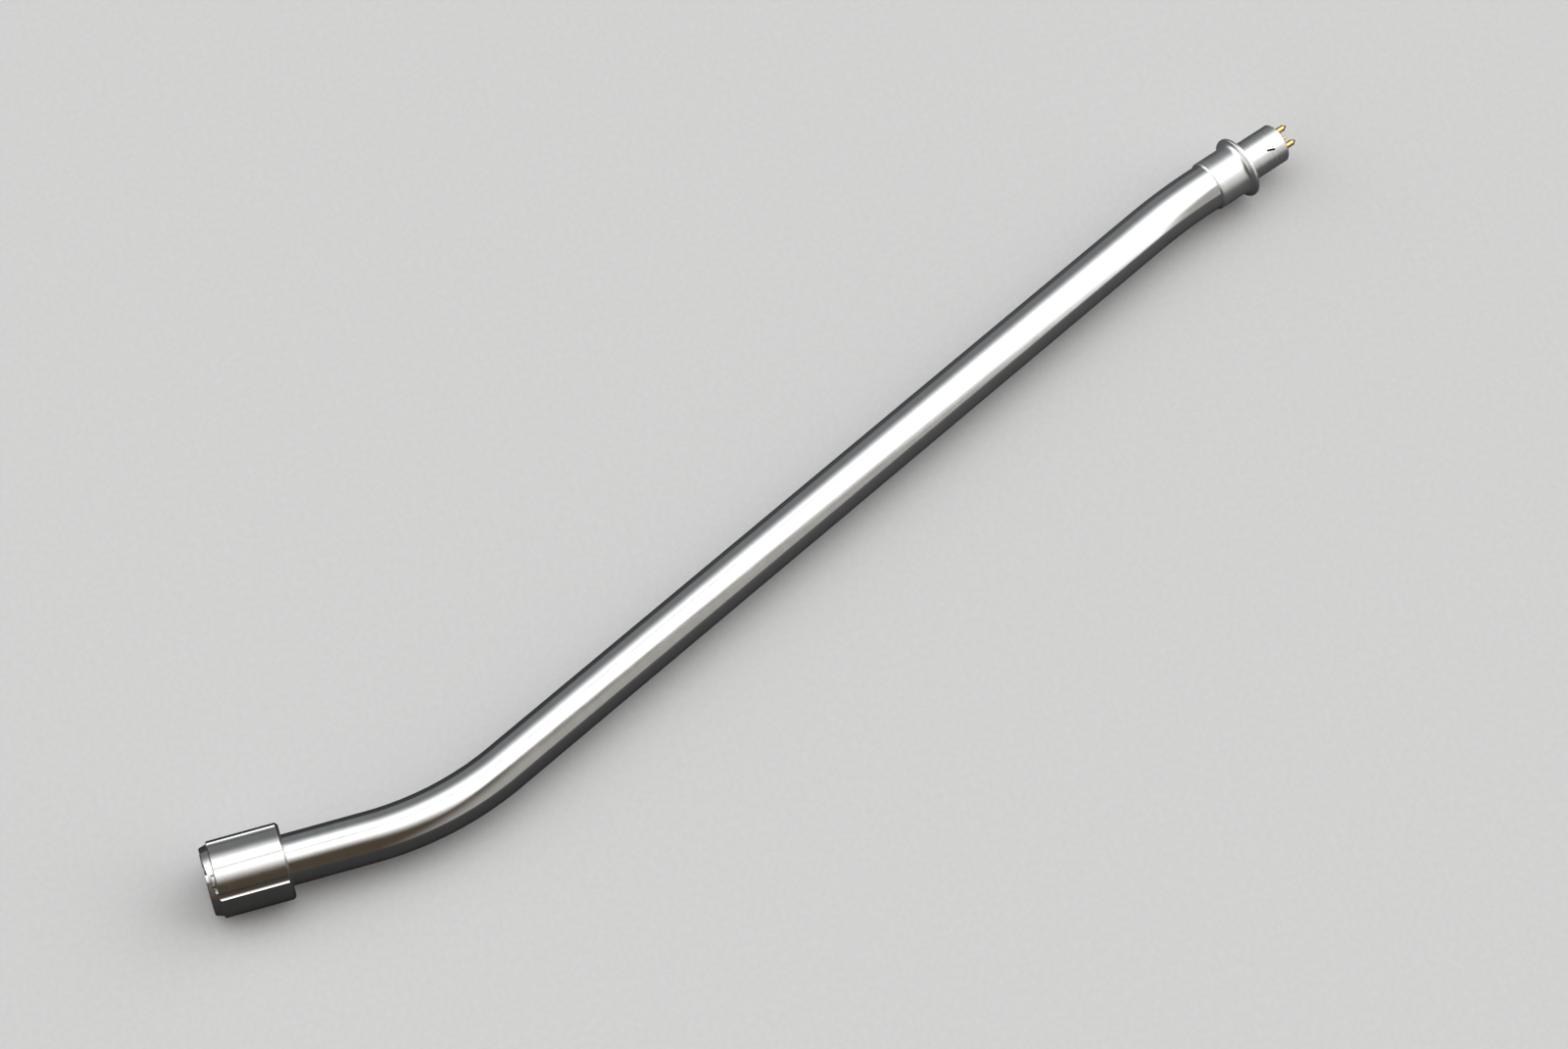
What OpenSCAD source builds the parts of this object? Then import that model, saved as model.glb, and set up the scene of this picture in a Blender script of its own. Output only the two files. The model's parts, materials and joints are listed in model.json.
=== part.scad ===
// Removable S-shaped record player tonearm tube: a bent polished tube with a bayonet
// locking collar for the headshell at one end and a pin plug at the other.
//
// Frame: the origin is the centre of the headshell socket's mouth. +X runs into the
// socket, towards the tube, +Z is up through the guide slot, and the tube bends to +Y.
// "Clock" angles turn about an axis from straight up towards the -Y side.

/* [Arm tube] */
// Outside diameter of the tube
tube_d = 9; // [8.9:0.05:9.1]
// Wall of the tube
tube_wall = 0.6; // [0.5:0.05:0.65]
// Socket mouth to the start of the front bend
front_len = 28.75; // [24:0.25:40]
// Centre line radius of the front bend
bend1_r = 56.5; // [40:0.5:80]
// Angle of the front bend
bend1_angle = 26.565; // [15:0.005:35]
// Straight between the bends
main_len = 159.5; // [80:0.5:200]
// Centre line radius of the rear bend
bend2_r = 118.5; // [80:0.5:160]
// Angle of the rear bend, back the other way
bend2_angle = 7.0595; // [3:0.0005:12]
// Rear bend to the ferrule
rear_len = 0.8; // [0.8:0.1:10]

/* [Locking collar] */
// Outside diameter of the collar
collar_d = 13.5; // [13.3:0.1:14]
// Length of the collar with its lip
collar_len = 14; // [14:0.1:15]
// Length of the narrower front lip
lip_len = 1.45; // [1.3:0.05:1.6]
// How far the rim ramps back beside its step
rim_ramp = 0.6; // [0.2:0.05:0.7]
// Depth of each grip flute
flute_depth = 0.36; // [0.2:0.02:0.4]
// Clock angle of the first grip flute
flute_clock = 52.7; // [40:0.1:65]

/* [Headshell socket] */
// Bore for the headshell's bayonet plug
socket_d = 8.04; // [8.02:0.01:8.06]
// Depth of the bore
socket_depth = 12; // [11.8:0.1:12]
// Width of the guide slot
slot_w = 2.1; // [2:0.05:2.2]
// Length of the guide slot
slot_len = 6; // [5:0.25:7]
// Circle through the spring contacts
contact_pcd = 4.5; // [4.2:0.1:4.6]
// How far a spring contact stands out and can be pushed
contact_travel = 0.9; // [0.5:0.1:0.9]

/* [Rear ferrule] */
// Outside diameter of the ferrule
ferrule_d = 9.7; // [9.6:0.05:10.4]
// Length of the ferrule with its flange
ferrule_len = 7.65; // [7:0.05:9]
// Outside diameter of the flange
flange_d = 12; // [11.5:0.1:13]
// Thickness of the flange
flange_t = 0.6; // [0.5:0.05:1]

/* [Pin plug] */
// Outside diameter of the plug barrel
plug_d = 7.72; // [7.6:0.01:7.72]
// Length of the barrel behind the flange
plug_len = 9.05; // [8:0.05:12]
// Diameter of the contact pins
pin_d = 1.16; // [1:0.02:1.2]
// How far the pins stand out of the barrel
pin_out = 2.8; // [2:0.1:4]
// Circle through the outer pins
pin_pcd = 4.5; // [4.2:0.1:4.6]
// Clock angle of the first outer pin
pin_clock = 68; // [60:1:75]
// Diameter of the middle earth pin
mid_pin_d = 0.8; // [0.7:0.05:0.85]
// How far the middle pin stands out
mid_pin_out = 2.4; // [1.5:0.1:3]

/* [Hidden] */
$fn = 96;
small_fn = 48;
CHANNELS = [1, 2, 3, 4];

eps = 0.5;                       // overshoot of a cutting tool past an open face
tube_r = tube_d / 2;
tube_bore_r = tube_r - tube_wall;

// Collar and socket stations along X, front to back
socket_r = socket_d / 2;
head_r = 5;                      // the sleeve's head, which the collar turns on
head_end = 10.8;
web_start = 10.86;               // the collar's inner web, held behind the head
web_end = 12.2;
washer_t = 0.25;
rub_gap = 0.02;                  // room between the turning collar and the washer
ring_t = 0.6;
ring_start = web_end + washer_t + 0.04;
ring_groove_r = tube_r - 0.25;
ring_arc = [150, 490];           // the open retaining ring, as clock angles
neck_end = 13.1;                 // the tube butts against the sleeve here
spigot_end = 20;
spigot_r = tube_bore_r - 0.02;
pocket_r = 3.3;                  // the sleeve's inner bore for the contact block
collar_front = 0.05;
collar_end = collar_front + collar_len;
collar_r = collar_d / 2;
collar_bore_r = head_r + 0.06;
web_bore_r = tube_r + 0.08;
counterbore_r = 5.7;
lip_end = collar_front + lip_len;
lip_front_r = 5.95;
lip_back_r = 6.3;
rear_chamfer = 0.45;
flute_r = 1.1;
flute_end = collar_end - rear_chamfer - 0.1;

// Bayonet cam inside the collar
keyway_clock = 15.5;
cam_r = 5.5;
cam_w = 2.3;
cam_start = 1.6;
cam_steps = 8;
cam_step_angle = 9;
cam_step_rise = 0.19;
rim_step_clock = 27;
window_clocks = [16.5, 47.5];
window_x = [0.98, 1.5];
stop_clock = 36.5;
stop_x = 0.87;
stop_r = 0.28;
stop_groove_r = 4.62;
turn_range = [-15.5, 55];        // the collar's travel, held by its stop pin
stop_slack = 4.6;

// Spring contacts
block_front = socket_depth + 0.9;
block_end = 19.5;
plunger_r = 0.45;
plunger_shoulder_r = 0.65;
tip_margin = 0.15;               // what keeps a pushed tip in front of the block
shoulder_x = block_front + 1.3;
shoulder_t = 0.7;
spring_gap = 0.04;
spring_wire_r = 0.08;
spring_r = 0.46;
spring_end = 18;
terminal_r = 0.69;
tail_r = 0.3;
tail_end = 22;
contact_clock = 45;
wire_r = 0.25;
strand_r = 0.2;
strand_x = [0.5, 7.6];           // where a stripped strand slants from its contact's clock to its pin's
strand_lap = 0.2;
bead_r = 0.55;
bead_half = 0.45;

// Rear stations along the plug's own axis, from the ferrule's front face
ferrule_r = ferrule_d / 2;
flange_r = flange_d / 2;
flange_fillet = 1.1;
tube_end = 5.6;                  // the tube reaches this far into the ferrule
barrel_start = -0.6;
barrel_end = ferrule_len + plug_len;
barrel_r = plug_d / 2;
shank_r = barrel_r - 0.25;       // the barrel's slimmer part, inside the ferrule and the tube
seat_x = ferrule_len - 0.15;     // the barrel's shoulder sits in a shallow seat in the flange
barrel_bore_r = 3.2;
insulator_start = 10.5;
insulator_end = barrel_end - 0.3;
pin_r = pin_d / 2;
mid_pin_r = mid_pin_d / 2;
pin_step = 0.17;                 // how much thicker a pin is where it is held
pin_shoulder = 0.15;             // how far the thicker part shows past the barrel
nose_r = 0.14;
taper_len = 0.8;
cup_r = 0.38;
cup_start = 8.8;
tag_x = 9.6;
tag_t = 0.35;
mark_x = 13.23;
mark_clock = 34;
mark_size = [1.7, 0.38];
mark_tilt = 20;
mark_depth = 0.12;

// ---- placing helpers -------------------------------------------------------------

// Turns a shape made about Z so that it lies along +X
module along_x() rotate([0, 90, 0]) children();

// Puts a shape at a clock angle and radius, its own +Z pointing outwards
module at_clock(clock, radius = 0) rotate([clock, 0, 0]) translate([0, 0, radius]) children();

// Frame at the end of a bend to the left or to the right of the running direction
module after_left(r, a) translate([0, r, 0]) rotate([0, 0, a]) translate([0, -r, 0]) children();
module after_right(r, a) translate([0, -r, 0]) rotate([0, 0, -a]) translate([0, r, 0]) children();

// Frames along the tube, ending at the ferrule's front face
module at_main() translate([front_len, 0, 0]) after_left(bend1_r, bend1_angle) children();
module at_rear_bend() at_main() translate([main_len, 0, 0]) children();
module at_rear() at_rear_bend() after_right(bend2_r, bend2_angle)
    translate([rear_len, 0, 0]) children();

// A round profile about X, from points [radius, x]
module turned(points) along_x() rotate_extrude() polygon(points);

// A ring about X between two stations
module ring_x(x0, x1, r0, r1) turned([[r0, x0], [r1, x0], [r1, x1], [r0, x1]]);

// Part of a ring about X, between two clock angles
module sector_x(x0, x1, r0, r1, c0, c1)
    rotate([0, -90, 0]) rotate([0, 0, -c1]) rotate_extrude(angle = c1 - c0)
        translate([r0, -x1]) square([r1 - r0, x1 - x0]);

// A straight round bar between two points
module bar(a, b, r) {
    d = b - a;
    length = norm(d);
    translate(a) rotate([0, acos(d.z / length), atan2(d.y, d.x)])
        cylinder(h = length, r = r, $fn = small_fn);
}

// A 2D section carried round a bend to the left
module bend_left(r, a) translate([0, r, 0]) rotate([0, 0, -90]) rotate_extrude(angle = a)
    translate([r, 0]) mirror([1, 0]) children();

// A 2D section carried along the tube's route from x0 to the rear station x1. The
// section's x is the distance to the left of the route and its y the height.
module swept(x0, x1) {
    translate([x0, 0, 0]) rotate([90, 0, 90]) linear_extrude(front_len - x0) children();
    translate([front_len, 0, 0]) bend_left(bend1_r, bend1_angle) children();
    at_main() rotate([90, 0, 90]) linear_extrude(main_len) children();
    at_rear_bend() mirror([0, 1, 0]) bend_left(bend2_r, bend2_angle) mirror([1, 0]) children();
    at_rear() translate([-rear_len, 0, 0]) rotate([90, 0, 90])
        linear_extrude(rear_len + x1) children();
}

// ---- tube and socket ---------------------------------------------------------------

module arm_tube() color("#d9dce0") swept(neck_end, tube_end)
    difference() {
        circle(tube_r);
        circle(tube_bore_r);
    }

module socket_sleeve() color("#c4c7cb") difference() {
    turned([
        [socket_r, 0], [head_r - 0.1, 0], [head_r, 0.1], [head_r, head_end], [tube_r, head_end],
        [tube_r, neck_end], [spigot_r, neck_end], [spigot_r, spigot_end],
        [pocket_r, spigot_end], [pocket_r, socket_depth], [socket_r, socket_depth]
    ]);
    translate([-eps, -slot_w / 2, 0]) cube([slot_len + eps, slot_w, head_r + eps]);
    ring_x(ring_start - 0.03, ring_start + ring_t + 0.03, ring_groove_r, tube_r + eps);
    sector_x(stop_x - stop_r - 0.06, stop_x + stop_r + 0.06, stop_groove_r, head_r + eps,
        stop_clock + turn_range[0] - stop_slack, stop_clock + turn_range[1] + stop_slack);
}

// ---- locking collar ------------------------------------------------------------------

module collar_blank() turned([
    [collar_bore_r, collar_front], [lip_front_r - 0.2, collar_front],
    [lip_front_r, collar_front + 0.2], [lip_back_r, lip_end], [collar_r - 0.2, lip_end],
    [collar_r, lip_end + 0.2], [collar_r, collar_end - rear_chamfer],
    [collar_r - rear_chamfer, collar_end], [counterbore_r, collar_end],
    [counterbore_r, web_end], [web_bore_r, web_end], [web_bore_r, web_start],
    [collar_bore_r, web_start]
]);

module grip_flutes() for (i = [0:3])
    at_clock(flute_clock + 90 * i, collar_r - flute_depth + flute_r)
        translate([lip_end - eps, 0, 0]) along_x() cylinder(h = flute_end - lip_end + eps, r = flute_r);

// A square-sided way for the headshell's guide pin, at one clock angle
module pin_way(clock, x0, x1) at_clock(clock) translate([x0, -cam_w / 2, head_r - 1])
    cube([x1 - x0, cam_w, cam_r - head_r + 1]);

// The keyway lets the guide pin in, and the stepped cam draws it back
module bayonet_cam() {
    pin_way(keyway_clock, -eps, cam_start + cam_w);
    for (i = [1:cam_steps]) {
        x0 = cam_start + i * cam_step_rise;
        pin_way(keyway_clock - i * cam_step_angle, x0, x0 + cam_w);
    }
}

// A sloping cut that takes the rim back on the upper side of its step only
module rim_ramp_cut() at_clock(rim_step_clock) intersection() {
    translate([collar_front + rim_ramp, 0, 0]) rotate([0, 0, atan(rim_ramp / lip_front_r)])
        translate([-3, -1, -2 * collar_r]) cube([3, 3 * collar_r, 4 * collar_r]);
    translate([-2, 0, 0]) cube([4, collar_r + 1, collar_r + 1]);
}

module lock_collar() color("#babdc1") difference() {
    collar_blank();
    grip_flutes();
    bayonet_cam();
    rim_ramp_cut();
    sector_x(window_x[0], window_x[1], collar_bore_r - 0.2, collar_r, window_clocks[0], window_clocks[1]);
    translate([stop_x, 0, 0]) at_clock(stop_clock, head_r - 0.5) cylinder(h = 3, r = stop_r, $fn = small_fn);
}

module collar_end_bush() color("#aeb1b6") ring_x(neck_end, collar_end, web_bore_r + 0.04, counterbore_r);

module collar_stop_pin() color("#e6e8ea") translate([stop_x, 0, 0])
    at_clock(stop_clock, stop_groove_r + 0.05) cylinder(h = 1.4, r = stop_r, $fn = small_fn);

module thrust_washer() color("#c9a24a")
    ring_x(web_end + rub_gap, web_end + washer_t, web_bore_r, counterbore_r - 0.2);

module retaining_ring() color("#5b5d61")
    sector_x(ring_start, ring_start + ring_t, ring_groove_r + 0.02, tube_r + 0.8, ring_arc[0], ring_arc[1]);

// ---- spring contacts -----------------------------------------------------------------

module at_contact(i) rotate([contact_clock + 90 * (i - 1), 0, 0])
    translate([0, 0, contact_pcd / 2]) children();

module contact_block() color("#232326") difference() {
    ring_x(block_front, block_end, 0, pocket_r - 0.02);
    for (i = CHANNELS) at_contact(i) {
        translate([block_front - eps, 0, 0]) along_x()
            cylinder(h = 3, r = plunger_r + 0.05, $fn = small_fn);
        translate([shoulder_x, 0, 0]) along_x()
            cylinder(h = block_end, r = plunger_shoulder_r + 0.05, $fn = small_fn);
    }
}

module contact_plunger(i) color("#d8a93a") at_contact(i) {
    tip_x = block_front - contact_travel - tip_margin;
    translate([tip_x + plunger_r, 0, 0]) sphere(plunger_r, $fn = small_fn);
    translate([tip_x + plunger_r, 0, 0]) along_x()
        cylinder(h = shoulder_x + shoulder_t - tip_x - plunger_r, r = plunger_r, $fn = small_fn);
    translate([shoulder_x + 0.02, 0, 0]) along_x()
        cylinder(h = shoulder_t - 0.02, r = plunger_shoulder_r, $fn = small_fn);
    translate([shoulder_x + shoulder_t, 0, 0]) along_x() cylinder(h = 0.8, r = 0.3, $fn = small_fn);
}

// A wire coil along X, as one closed tube of six sides
module coil(length, turns, radius, wire) {
    steps = turns * 8;
    sides = 6;
    rise = (length - 2 * wire) / steps;
    points = [
        for (s = [0:steps], k = [0:sides - 1])
            let (a = 45 * s, b = 60 * k, r = radius + wire * cos(b))
                [wire + s * rise + wire * sin(b), r * cos(a), r * sin(a)]
    ];
    walls = [
        for (s = [0:steps - 1], k = [0:sides - 1])
            let (p = s * sides, n = (k + 1) % sides)
                [p + k, p + n, p + sides + n, p + sides + k]
    ];
    ends = [[for (k = [sides - 1:-1:0]) k], [for (k = [0:sides - 1]) steps * sides + k]];
    polyhedron(points, concat(walls, ends), convexity = 8);
}

module contact_spring(i) color("#c8cacc") at_contact(i) {
    start = shoulder_x + shoulder_t + spring_gap;
    translate([start, 0, 0]) coil(spring_end - start, 6, spring_r, spring_wire_r);
}

module contact_terminal(i) color("#caa05a") at_contact(i) {
    translate([spring_end + spring_gap, 0, 0]) along_x()
        cylinder(h = block_end - spring_end - spring_gap, r = terminal_r, $fn = small_fn);
    translate([block_end, 0, 0]) along_x() cylinder(h = tail_end - block_end, r = tail_r, $fn = small_fn);
}

// ---- signal wires ----------------------------------------------------------------------

module at_pin(i) rotate([pin_clock + 90 * (i - 1), 0, 0])
    translate([0, 0, pin_pcd / 2]) children();

// Offset of channel i from the axis, as [left of the route, height]
function around(clock, radius) = [-radius * sin(clock), radius * cos(clock)];
function front_offset(i) = around(contact_clock + 90 * (i - 1), contact_pcd / 2);
function rear_offset(i) = around(pin_clock + 90 * (i - 1), pin_pcd / 2);

// A wire follows the tube from its terminal, then its stripped strand slants over to the
// tinned end at its pin
module signal_wire(i) {
    a = front_offset(i);
    b = rear_offset(i);
    swept(tail_end, strand_x[0]) translate(a) circle(wire_r, $fn = small_fn);
    at_rear() {
        bar([strand_x[0] - strand_lap, a.x, a.y], [strand_x[1] + strand_lap, b.x, b.y], strand_r);
        bar([strand_x[1], b.x, b.y], [cup_start, b.x, b.y], wire_r);
    }
}

module wire_white() color("#e8e6df") signal_wire(1);
module wire_blue() color("#2f5fae") signal_wire(2);
module wire_green() color("#2f8a4c") signal_wire(3);
module wire_red() color("#b8332c") signal_wire(4);

// A collar of solder around the joint of two round leads that meet end to end along X
module solder_bead(before_r, after_r) turned([
    [before_r, -bead_half], [before_r + 0.06, -bead_half], [bead_r, -0.1], [bead_r, 0.1],
    [after_r + 0.06, bead_half], [after_r, bead_half], [after_r, 0], [before_r, 0]
]);

module front_solder() color("#b9bcc0") for (i = CHANNELS)
    at_contact(i) translate([tail_end, 0, 0]) solder_bead(tail_r, wire_r);

module rear_solder() color("#b9bcc0") at_rear() for (i = CHANNELS)
    at_pin(i) translate([cup_start, 0, 0]) solder_bead(wire_r, cup_r);

// ---- ferrule and plug --------------------------------------------------------------------

module rear_ferrule() color("#b4b7bc") at_rear() {
    c = [ferrule_r + flange_fillet, ferrule_len - flange_t - flange_fillet];
    turned(concat(
        [[tube_r + 0.12, 0], [ferrule_r - 0.18, 0], [ferrule_r, 0.18]],
        [for (a = [180:-10:90]) c + flange_fillet * [cos(a), sin(a)]],
        [
            [flange_r - 0.1, ferrule_len - flange_t], [flange_r, ferrule_len - flange_t + 0.1],
            [flange_r, ferrule_len - 0.1], [flange_r - 0.1, ferrule_len],
            [barrel_r + 0.02, ferrule_len], [barrel_r + 0.02, seat_x],
            [shank_r + 0.02, seat_x], [shank_r + 0.02, tube_end + 0.05],
            [tube_r + 0.02, tube_end + 0.05], [tube_r + 0.02, 0.1]
        ]
    ));
}

module mark_shape(depth) translate([mark_x, 0, 0]) at_clock(mark_clock, barrel_r - depth)
    rotate([0, 0, -mark_tilt]) translate([-mark_size.x / 2, -mark_size.y / 2, 0])
        cube([mark_size.x, mark_size.y, 1]);

module plug_barrel() color("#babdc1") at_rear() difference() {
    turned([
        [barrel_bore_r, barrel_start], [shank_r, barrel_start], [shank_r, seat_x],
        [barrel_r, seat_x], [barrel_r, barrel_end - 0.2], [barrel_r - 0.2, barrel_end],
        [barrel_bore_r + 0.1, barrel_end], [barrel_bore_r, barrel_end - 0.1]
    ]);
    mark_shape(mark_depth);
}

// The dark filling of the index mark, level with the barrel
module index_mark() color("#0d0d0e") at_rear() intersection() {
    mark_shape(mark_depth);
    ring_x(barrel_start, barrel_end, barrel_bore_r, barrel_r);
}

module plug_insulator() color("#1c1c1f") at_rear() difference() {
    ring_x(insulator_start, insulator_end, 0, barrel_bore_r - 0.02);
    for (i = CHANNELS) at_pin(i) translate([insulator_start - eps, 0, 0]) along_x()
        cylinder(h = plug_len, r = pin_r + pin_step + 0.01, $fn = small_fn);
    translate([insulator_start - eps, 0, 0]) along_x()
        cylinder(h = plug_len, r = mid_pin_r + pin_step + 0.01, $fn = small_fn);
}

// A turned pin: solder tail, held part, free part, and a taper with a round nose at the tip
module contact_pin(free_r, stands_out) {
    tip = barrel_end + stands_out;
    held_r = free_r + pin_step;
    held_end = barrel_end + pin_shoulder;
    turned(concat(
        [[0, cup_start], [cup_r, cup_start], [cup_r, insulator_start], [held_r, insulator_start]],
        [[held_r, held_end], [free_r, held_end], [free_r, tip - taper_len]],
        [for (a = [30:15:75]) [nose_r * cos(a), tip - nose_r + nose_r * sin(a)]],
        [[0, tip]]
    ));
}

module plug_pin(i) color("#e0ae3c") at_rear() at_pin(i) contact_pin(pin_r, pin_out);
module plug_ground_pin() color("#e0ae3c") at_rear() contact_pin(mid_pin_r, mid_pin_out);

// A stamped ring that joins the barrel to the middle pin, with one arm between two pins
module ground_tag() color("#c9a24a") at_rear() translate([tag_x, 0, 0]) rotate([90, 0, 90])
    linear_extrude(tag_t) difference() {
        union() {
            difference() {
                circle(barrel_bore_r - 0.01);
                circle(2.8);
            }
            circle(0.85);
            rotate(pin_clock + 45) translate([-0.35, 0.5]) square([0.7, 2.45]);
        }
        circle(cup_r + 0.01);
    }

// ---- nodes -----------------------------------------------------------------------------

arm_tube();
socket_sleeve();
lock_collar();
collar_end_bush();
collar_stop_pin();
thrust_washer();
retaining_ring();
contact_block();
for (i = CHANNELS) {
    contact_plunger(i);
    contact_spring(i);
    contact_terminal(i);
    plug_pin(i);
}
front_solder();
wire_white();
wire_blue();
wire_green();
wire_red();
rear_solder();
rear_ferrule();
plug_barrel();
plug_insulator();
index_mark();
ground_tag();
plug_ground_pin();
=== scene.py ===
"""Looks for the removable tonearm tube: materials, tube mesh, springs, camera and studio.

Everything is in metres in the CAD's frame: the origin is the socket's mouth, +X runs into the
socket, the tube bends to +Y and +Z is up. "Clock" angles turn about the tube's line from +Z
towards the -Y side, as in the CAD.
"""
import json
import math

import bmesh
import bpy
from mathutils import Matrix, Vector


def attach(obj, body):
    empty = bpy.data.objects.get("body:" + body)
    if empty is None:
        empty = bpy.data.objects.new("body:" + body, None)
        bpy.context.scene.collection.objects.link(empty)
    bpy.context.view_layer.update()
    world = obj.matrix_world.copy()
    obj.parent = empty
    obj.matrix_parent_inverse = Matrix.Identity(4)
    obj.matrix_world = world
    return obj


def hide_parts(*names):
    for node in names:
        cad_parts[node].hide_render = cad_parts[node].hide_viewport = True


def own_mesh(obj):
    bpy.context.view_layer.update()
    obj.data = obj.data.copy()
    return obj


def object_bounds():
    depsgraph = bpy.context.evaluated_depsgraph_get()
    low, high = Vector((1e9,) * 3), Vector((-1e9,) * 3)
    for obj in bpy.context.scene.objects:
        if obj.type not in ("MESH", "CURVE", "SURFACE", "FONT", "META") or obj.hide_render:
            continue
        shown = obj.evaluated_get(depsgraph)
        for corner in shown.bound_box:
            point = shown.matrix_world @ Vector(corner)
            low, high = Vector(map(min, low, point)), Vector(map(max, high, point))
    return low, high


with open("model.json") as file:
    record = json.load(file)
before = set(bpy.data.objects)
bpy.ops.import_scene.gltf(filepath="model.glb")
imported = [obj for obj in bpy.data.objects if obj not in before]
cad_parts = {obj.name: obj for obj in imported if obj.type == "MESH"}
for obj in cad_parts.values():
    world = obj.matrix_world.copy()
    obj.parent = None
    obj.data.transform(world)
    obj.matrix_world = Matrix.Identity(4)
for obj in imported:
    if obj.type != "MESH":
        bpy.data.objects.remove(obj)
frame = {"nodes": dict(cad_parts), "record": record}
cad_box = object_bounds()
nodes = frame["nodes"]
MM = 0.001

# ---- sizes repeated from the CAD, in millimetres and degrees ------------------------------------

TUBE_R = 4.5
TUBE_BORE_R = 3.9
NECK_END = 13.1
FRONT_LEN = 28.75
BEND1_R, BEND1_ANGLE = 56.5, 26.565
MAIN_LEN = 159.5
BEND2_R, BEND2_ANGLE = 118.5, 7.0595
REAR_LEN = 0.8
TUBE_END = 5.6
HEADING = math.radians(BEND1_ANGLE - BEND2_ANGLE)    # of the ferrule and plug, in radians


def route(step):
    """Points of the tube's centre line, one stretch after another: x, y, heading, distance."""
    x, y, heading, done = NECK_END, 0.0, 0.0, 0.0
    stretches = (
        (FRONT_LEN - NECK_END, 0.0),
        (BEND1_R * math.radians(BEND1_ANGLE), 1 / BEND1_R),
        (MAIN_LEN, 0.0),
        (BEND2_R * math.radians(BEND2_ANGLE), -1 / BEND2_R),
        (REAR_LEN + TUBE_END, 0.0),
    )
    points = [(x, y, heading, done)]
    for length, curve in stretches:
        count = max(2, round(length / step))
        for k in range(1, count + 1):
            s = length * k / count
            turn = curve * s
            if curve:
                px = x + (math.sin(heading + turn) - math.sin(heading)) / curve
                py = y - (math.cos(heading + turn) - math.cos(heading)) / curve
            else:
                px, py = x + s * math.cos(heading), y + s * math.sin(heading)
            points.append((px, py, heading + turn, done + s))
        x, y, heading, done = points[-1]
    return points


# ---- node helpers -------------------------------------------------------------------------------


class Graph:
    """A small builder for shader node trees. Inputs are plain values or other nodes' outputs."""

    def __init__(self, tree):
        self.tree = tree
        tree.nodes.clear()

    def node(self, kind, **settings):
        made = self.tree.nodes.new(kind)
        for name, value in settings.items():
            setattr(made, name, value)
        return made

    def feed(self, socket, value):
        if isinstance(value, bpy.types.NodeSocket):
            self.tree.links.new(value, socket)
        else:
            socket.default_value = value

    def math(self, operation, a, b=0.0):
        made = self.node("ShaderNodeMath", operation=operation)
        self.feed(made.inputs[0], a)
        self.feed(made.inputs[1], b)
        return made.outputs[0]

    def smooth(self, value, low, high, at_low=0.0, at_high=1.0):
        made = self.node("ShaderNodeMapRange", interpolation_type="SMOOTHSTEP")
        for name, v in zip(("Value", "From Min", "From Max", "To Min", "To Max"),
                           (value, low, high, at_low, at_high)):
            self.feed(made.inputs[name], v)
        return made.outputs["Result"]

    def dot(self, vector, other):
        made = self.node("ShaderNodeVectorMath", operation="DOT_PRODUCT")
        self.feed(made.inputs[0], vector)
        self.feed(made.inputs[1], other)
        return made.outputs["Value"]

    def noise(self, vector, scale, detail, rough):
        made = self.node("ShaderNodeTexNoise")
        self.feed(made.inputs["Vector"], vector)
        made.inputs["Scale"].default_value = scale
        made.inputs["Detail"].default_value = detail
        made.inputs["Roughness"].default_value = rough
        return made.outputs["Fac"]

    def stretched(self, vector, scale):
        made = self.node("ShaderNodeMapping")
        self.feed(made.inputs["Vector"], vector)
        made.inputs["Scale"].default_value = scale
        return made.outputs["Vector"]

    def along_x(self, x):
        made = self.node("ShaderNodeCombineXYZ")
        self.feed(made.inputs[0], x)
        return made.outputs[0]

    def mix(self, fac, a, b):
        made = self.node("ShaderNodeMix", data_type="RGBA")
        self.feed(made.inputs["Factor"], fac)
        self.feed(made.inputs["A"], a)
        self.feed(made.inputs["B"], b)
        return made.outputs["Result"]

    def bump(self, height, distance, strength):
        made = self.node("ShaderNodeBump")
        self.feed(made.inputs["Height"], height)
        made.inputs["Distance"].default_value = distance
        made.inputs["Strength"].default_value = strength
        return made.outputs["Normal"]


def new_material(name):
    material = bpy.data.materials.new(name)
    material.use_nodes = True
    graph = Graph(material.node_tree)
    shader = graph.node("ShaderNodeBsdfPrincipled")
    out = graph.node("ShaderNodeOutputMaterial")
    material.node_tree.links.new(shader.outputs[0], out.inputs[0])
    return material, graph, shader


# ---- materials ----------------------------------------------------------------------------------

# depths of the bumps in metres; scales of the noises per metre of the piece
MICRON = 0.000001
POLISH_DEPTH = 2 * MICRON
RING_DEPTH = 0.5 * MICRON
FAINT_RING_DEPTH = 0.04 * MICRON
GRAIN_DEPTH = 4 * MICRON
RING_SCALE = 5200.0
WIDE_RING_SCALE = 1500.0
HAZE_SCALE = 420.0
GRAIN_SCALE = 2600.0
FIBRE_SCALE = 900.0

# how far the tube's marks are squeezed along and round it, and its two tones
LINE_STRETCH = (12.0, 190.0, 1.0)
HAIR_STRETCH = (60.0, 900.0, 1.0)
SMEAR_STRETCH = (40.0, 6.0, 1.0)
TUBE_DARK = (0.86, 0.868, 0.876, 1.0)
TUBE_LIGHT = (0.92, 0.925, 0.93, 1.0)


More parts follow.
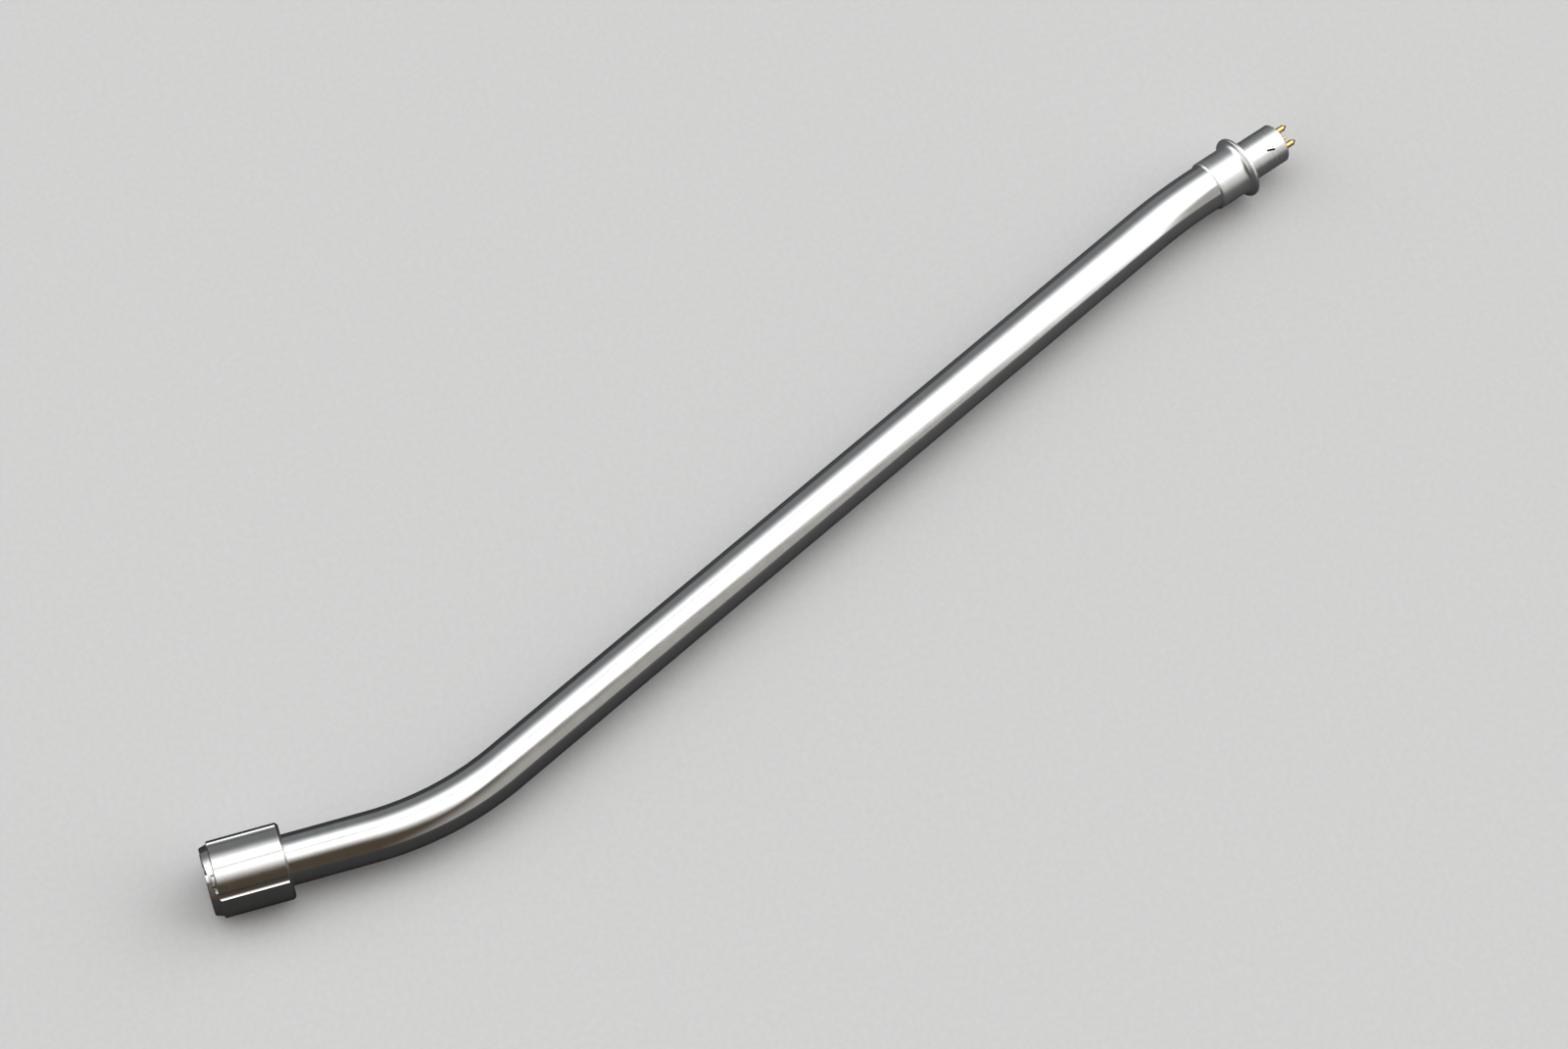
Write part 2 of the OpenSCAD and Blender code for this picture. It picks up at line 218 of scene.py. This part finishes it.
def polished_tube():
    """Drawn and polished aluminium: a near mirror with faint lengthwise polishing lines."""
    material, g, shader = new_material("polished_tube")
    uv = g.node("ShaderNodeUVMap", uv_map="along_round").outputs[0]
    lines = g.noise(g.stretched(uv, LINE_STRETCH), 1.0, 4.0, 0.7)
    hairs = g.noise(g.stretched(uv, HAIR_STRETCH), 1.0, 2.0, 0.6)
    haze = g.noise(g.stretched(uv, SMEAR_STRETCH), 1.0, 3.0, 0.55)
    shade = g.smooth(haze, 0.3, 0.7)
    g.feed(shader.inputs["Base Color"], g.mix(shade, TUBE_DARK, TUBE_LIGHT))
    rough = g.smooth(lines, 0.3, 0.72, 0.07, 0.15)
    g.feed(shader.inputs["Roughness"], g.math("ADD", rough, g.smooth(hairs, 0.55, 0.8, 0.0, 0.06)))
    height = g.math("ADD", lines, g.math("MULTIPLY", hairs, 0.35))
    g.feed(shader.inputs["Normal"], g.bump(height, POLISH_DEPTH, 0.35))
    shader.inputs["Metallic"].default_value = 1.0
    return material


def turned_metal(name, dark, light, rough, heading=0.0, line=RING_SCALE, depth=RING_DEPTH):
    """Lathe-turned metal: fine rings round the axis, with a little handling haze over them."""
    material, g, shader = new_material(name)
    place = g.node("ShaderNodeTexCoord").outputs["Object"]
    station = g.dot(place, (math.cos(heading), math.sin(heading), 0.0))
    rings = g.noise(g.along_x(station), line, 3.0, 0.7)
    haze = g.noise(place, HAZE_SCALE, 3.0, 0.6)
    tone = g.math("ADD", g.math("MULTIPLY", rings, 0.6), g.math("MULTIPLY", haze, 0.4))
    g.feed(shader.inputs["Base Color"],
           g.mix(g.smooth(tone, 0.36, 0.64), (*dark, 1.0), (*light, 1.0)))
    rough_rings = g.smooth(rings, 0.3, 0.7, rough[0], rough[1])
    g.feed(shader.inputs["Roughness"],
           g.math("ADD", rough_rings, g.smooth(haze, 0.5, 0.8, 0.0, 0.05)))
    g.feed(shader.inputs["Normal"], g.bump(rings, depth, 0.5))
    shader.inputs["Metallic"].default_value = 1.0
    return material


def grained(name, dark, light, rough, metallic=0.0, specular=0.5):
    """A material with a fine even grain, such as moulded plastic, solder or insulation."""
    material, g, shader = new_material(name)
    place = g.node("ShaderNodeTexCoord").outputs["Object"]
    grain = g.noise(place, GRAIN_SCALE, 3.0, 0.6)
    cloud = g.noise(place, GRAIN_SCALE / 9, 2.0, 0.5)
    g.feed(shader.inputs["Base Color"],
           g.mix(g.smooth(cloud, 0.35, 0.65), (*dark, 1.0), (*light, 1.0)))
    g.feed(shader.inputs["Roughness"], g.smooth(grain, 0.3, 0.7, rough[0], rough[1]))
    g.feed(shader.inputs["Normal"], g.bump(grain, GRAIN_DEPTH, 0.4))
    shader.inputs["Metallic"].default_value = metallic
    shader.inputs["Specular IOR Level"].default_value = specular
    return material


# a metal's dark tone, light tone and range of roughness
GOLD = ((0.86, 0.55, 0.17), (0.98, 0.70, 0.27), (0.12, 0.2))
BRASS = ((0.62, 0.45, 0.2), (0.74, 0.56, 0.27), (0.25, 0.35))
BLACK, BLACK_SHEEN = (0.012, 0.012, 0.013), (0.02, 0.02, 0.022)
FAINT_RINGS = {"heading": HEADING, "line": WIDE_RING_SCALE, "depth": FAINT_RING_DEPTH}

slot_material = {
    "tube": polished_tube(),
    "sleeve": turned_metal("sleeve_metal", (0.74, 0.745, 0.75), (0.84, 0.845, 0.85), (0.16, 0.24)),
    "collar": turned_metal("collar_metal", (0.8, 0.795, 0.785), (0.87, 0.868, 0.862),
                           (0.11, 0.15)),
    "bush": turned_metal("bush_metal", (0.66, 0.665, 0.67), (0.76, 0.765, 0.77), (0.2, 0.3)),
    "stop_pin": turned_metal("stop_pin_steel", (0.8, 0.8, 0.79), (0.88, 0.88, 0.87),
                             (0.08, 0.14)),
    "washer": turned_metal("washer_brass", *BRASS),
    "ring": grained("ring_steel", (0.2, 0.2, 0.2), (0.3, 0.3, 0.3), (0.3, 0.42), metallic=1.0),
    "block": grained("block_plastic", BLACK, BLACK_SHEEN, (0.42, 0.55)),
    "contact": turned_metal("contact_gold", *GOLD),
    "spring": grained("spring_steel", (0.6, 0.6, 0.6), (0.7, 0.7, 0.7), (0.2, 0.3), metallic=1.0),
    "terminal": turned_metal("terminal_brass", (0.66, 0.5, 0.26), (0.78, 0.62, 0.34), (0.2, 0.3)),
    "solder": grained("solder_metal", (0.5, 0.51, 0.52), (0.62, 0.63, 0.64), (0.3, 0.45),
                      metallic=1.0),
    "wire_white": grained("wire_white_skin", (0.68, 0.67, 0.63), (0.76, 0.75, 0.71), (0.45, 0.6)),
    "wire_blue": grained("wire_blue_skin", (0.014, 0.05, 0.3), (0.02, 0.07, 0.38), (0.45, 0.6)),
    "wire_green": grained("wire_green_skin", (0.012, 0.16, 0.04), (0.02, 0.21, 0.06), (0.45, 0.6)),
    "wire_red": grained("wire_red_skin", (0.3, 0.015, 0.012), (0.38, 0.022, 0.018), (0.45, 0.6)),
    "ferrule": turned_metal("ferrule_metal", (0.84, 0.845, 0.85), (0.91, 0.915, 0.92),
                            (0.27, 0.33), **FAINT_RINGS),
    "barrel": turned_metal("barrel_metal", (0.83, 0.835, 0.84), (0.9, 0.905, 0.91),
                           (0.25, 0.31), **FAINT_RINGS),
    "insulator": grained("insulator_plastic", BLACK, BLACK_SHEEN, (0.4, 0.52)),
    "mark": grained("mark_paint", (0.003, 0.003, 0.003), (0.006, 0.006, 0.006), (0.5, 0.62),
                    specular=0.12),
    "tag": turned_metal("tag_brass", *BRASS, heading=HEADING),
    "pin": turned_metal("pin_gold", *GOLD, heading=HEADING),
}

for part in frame["record"]["subparts"]:
    mesh = nodes[part["node"]].data
    mesh.materials.clear()
    mesh.materials.append(slot_material[part["material_slot"]])


# ---- the tube -----------------------------------------------------------------------------------

AROUND = 128          # sides of the tube's section
STATION_STEP = 1.0    # about how many millimetres lie between sections
UV_PER_MM = 0.01


def swept_tube(name):
    """The bent tube as one smooth closed mesh, with a UV map of distance along and round it."""
    bm = bmesh.new()
    uv = bm.loops.layers.uv.new("along_round")
    stations = route(STATION_STEP)

    def ring(radius, x, y, heading):
        made = []
        for k in range(AROUND):
            clock = math.tau * k / AROUND
            side = radius * math.sin(clock)
            point = (x + side * math.sin(heading), y - side * math.cos(heading),
                     radius * math.cos(clock))
            made.append(bm.verts.new(Vector(point) * MM))
        return made

    def skin(rings, radius, flipped):
        for a, b, s, t in zip(rings, rings[1:], distances, distances[1:]):
            for k in range(AROUND):
                n = (k + 1) % AROUND
                corners = [(a[k], s, k), (b[k], t, k), (b[n], t, k + 1), (a[n], s, k + 1)]
                if flipped:
                    corners.reverse()
                face = bm.faces.new([c[0] for c in corners])
                face.smooth = True
                for loop, (_, along, turn) in zip(face.loops, corners):
                    arc = math.tau * turn / AROUND * radius
                    loop[uv].uv = (along * UV_PER_MM, arc * UV_PER_MM)

    distances = [p[3] for p in stations]
    outer = [ring(TUBE_R, *p[:3]) for p in stations]
    inner = [ring(TUBE_BORE_R, *p[:3]) for p in stations]
    skin(outer, TUBE_R, False)
    skin(inner, TUBE_BORE_R, True)
    for out_ring, in_ring, front in ((outer[0], inner[0], True), (outer[-1], inner[-1], False)):
        for k in range(AROUND):
            n = (k + 1) % AROUND
            corners = [out_ring[k], out_ring[n], in_ring[n], in_ring[k]]
            if not front:
                corners.reverse()
            bm.faces.new(corners)
    bmesh.ops.recalc_face_normals(bm, faces=bm.faces)
    mesh = bpy.data.meshes.new(name)
    bm.to_mesh(mesh)
    bm.free()
    mesh.materials.append(slot_material["tube"])
    made = bpy.data.objects.new(name, mesh)
    bpy.context.scene.collection.objects.link(made)
    return made


tube = swept_tube("tube_polished")
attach(tube, "arm")
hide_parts("arm_tube")


# ---- springs: copies of the contact springs, each with its own mesh -----------------------------

for channel in (1, 2, 3, 4):
    cad_spring = nodes[f"contact_spring_{channel}"]
    coil = bpy.data.objects.new(f"spring_coil_{channel}", cad_spring.data.copy())
    bpy.context.scene.collection.objects.link(coil)
    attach(coil, "arm")
    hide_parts(cad_spring.name)
    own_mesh(coil)


# ---- camera -------------------------------------------------------------------------------------

# in millimetres
CAMERA_PLACE = (8.587, -304.533, 638.853)
LOOK_AT = (114.137, 37.607, 0.0)

camera_data = bpy.data.cameras.new("camera")
camera_data.sensor_width = 36.0
camera_data.lens = 94.5
camera_data.clip_start = 0.05
camera_data.clip_end = 20.0
camera = bpy.data.objects.new("camera", camera_data)
camera.location = Vector(CAMERA_PLACE) * MM
line_of_sight = Vector(LOOK_AT) * MM - camera.location
camera.rotation_euler = line_of_sight.to_track_quat("-Z", "Y").to_euler()
bpy.context.scene.collection.objects.link(camera)
bpy.context.scene.camera = camera


# ---- studio -------------------------------------------------------------------------------------

FLOOR_Z = cad_box[0].z
FLOOR_CENTRE = (0.1, 0.04)
FLOOR_RADIUS = 4.0
CARD_LIFT = 0.00002    # keeps the card and the floor from lying in one plane
FLOOR_TONE = (0.57, 0.57, 0.575)
# the card's tones: darker at the arm's front end as painted shade, where the mirrored paper lies
# in shade, lighter at the rear
CARD_SHADED_FRONT_TONE, CARD_REAR_TONE = (0.03, 0.03, 0.03), (0.062, 0.062, 0.063)


def disc(name, z, material):
    """A round sheet that belongs to the studio."""
    bm = bmesh.new()
    bmesh.ops.create_circle(bm, cap_ends=True, segments=96, radius=FLOOR_RADIUS)
    mesh = bpy.data.meshes.new(name)
    bm.to_mesh(mesh)
    bm.free()
    mesh.materials.append(material)
    made = bpy.data.objects.new(name, mesh)
    made.location = (*FLOOR_CENTRE, z)
    bpy.context.scene.collection.objects.link(made)
    return made


def paper(name, front, rear):
    """Plain matt paper that may change evenly from the arm's front end to its rear end."""
    material, g, shader = new_material(name)
    place = g.node("ShaderNodeTexCoord").outputs["Object"]
    fibres = g.noise(place, FIBRE_SCALE, 4.0, 0.7)
    tone = g.smooth(fibres, 0.25, 0.75, 0.97, 1.03)
    along = g.smooth(g.dot(place, (1.0, 0.0, 0.0)), -0.1, 0.11)
    scaled = g.node("ShaderNodeVectorMath", operation="SCALE")
    g.feed(scaled.inputs[0], g.mix(along, (*front, 1.0), (*rear, 1.0)))
    g.feed(scaled.inputs["Scale"], tone)
    g.feed(shader.inputs["Base Color"], scaled.outputs[0])
    shader.inputs["Roughness"].default_value = 0.95
    shader.inputs["Specular IOR Level"].default_value = 0.1
    return material


floor = disc("floor", FLOOR_Z, paper("floor_paper", FLOOR_TONE, FLOOR_TONE))
floor.visible_glossy = False

# what the metal mirrors below the horizon: a dark card at the floor, seen by reflections only, a
# painted reflection in place of the pale floor; it darkens towards the arm's front end as painted
# shade
card_paper = paper("card_paper", CARD_SHADED_FRONT_TONE, CARD_REAR_TONE)
card = disc("reflected_card", FLOOR_Z + CARD_LIFT, card_paper)
card.visible_camera = False
card.visible_diffuse = False
card.visible_shadow = False
card.visible_transmission = False


# edges in the room, each as the direction that points across it
RIGHT_EDGE = (0.605, 0.796, -0.04)
LEFT_EDGE = (0.359, 0.855, 0.368)
ACROSS_LEFT = (-0.912, 0.0, 0.41)
ACROSS_RIGHT = (0.912, 0.0, -0.41)
ACROSS_SEAM = (0.787, -0.614, 0.066)
SEAM_DEPTH = 0.75

# tones of the softbox and the walls
SOFTBOX = (2.3, 2.3, 2.28, 1.0)
SEAM = (0.25, 0.26, 0.27, 1.0)
FRONT_LEFT_WALL = (0.074, 0.056, 0.038, 1.0)
FRONT_RIGHT_WALL = (0.36, 0.345, 0.32, 1.0)
REAR_WALL = (0.17, 0.178, 0.182, 1.0)
LEFT_CARD = (0.95, 0.95, 0.94, 1.0)


def light_room():
    """Soft studio light by direction: one large overhead softbox, with dimmer walls around it."""
    world = bpy.data.worlds.new("studio")
    world.use_nodes = True
    g = Graph(world.node_tree)
    ray = g.node("ShaderNodeTexCoord").outputs["Generated"]
    split = g.node("ShaderNodeSeparateXYZ")
    g.feed(split.inputs[0], ray)
    x, y, z = split.outputs

    # the softbox's near edge in two straight pieces, and its far edge towards +Y
    right_part = g.smooth(g.dot(ray, RIGHT_EDGE), -0.06, 0.09)
    left_part = g.smooth(g.dot(ray, LEFT_EDGE), -0.37, 0.58)
    left_side = g.smooth(g.dot(ray, ACROSS_LEFT), -0.05, 0.05)
    near = g.math("MAXIMUM", right_part, g.math("MULTIPLY", left_part, left_side))
    far = g.smooth(y, 0.89, 0.18)
    up = g.smooth(z, 0.0, 0.12)
    softbox = g.math("MULTIPLY", g.math("MULTIPLY", near, far), up)

    # the seam where its two panels meet, which fades out towards the rear
    off_seam = g.math("ABSOLUTE", g.dot(ray, ACROSS_SEAM))
    seam = g.math("MULTIPLY", g.smooth(off_seam, 0.075, 0.03), g.smooth(x, 0.34, 0.16))
    bright = g.mix(g.math("MULTIPLY", seam, SEAM_DEPTH), SOFTBOX, SEAM)

    # low walls: warm and dark at the front left, paler to the right, cool behind
    right_side = g.smooth(g.dot(ray, ACROSS_RIGHT), -0.02, 0.4)
    front = g.mix(right_side, FRONT_LEFT_WALL, FRONT_RIGHT_WALL)
    walls = g.mix(g.smooth(y, 0.2, 0.7), front, REAR_WALL)
    left_card = g.smooth(x, -0.5, -0.72)
    walls = g.mix(g.math("MULTIPLY", left_card, up), walls, LEFT_CARD)
    colour = g.mix(softbox, walls, bright)
    background = g.node("ShaderNodeBackground")
    g.feed(background.inputs["Color"], colour)
    out = g.node("ShaderNodeOutputWorld")
    g.tree.links.new(background.outputs[0], out.inputs[0])
    bpy.context.scene.world = world


light_room()
bpy.context.scene.view_settings.view_transform = "Standard"
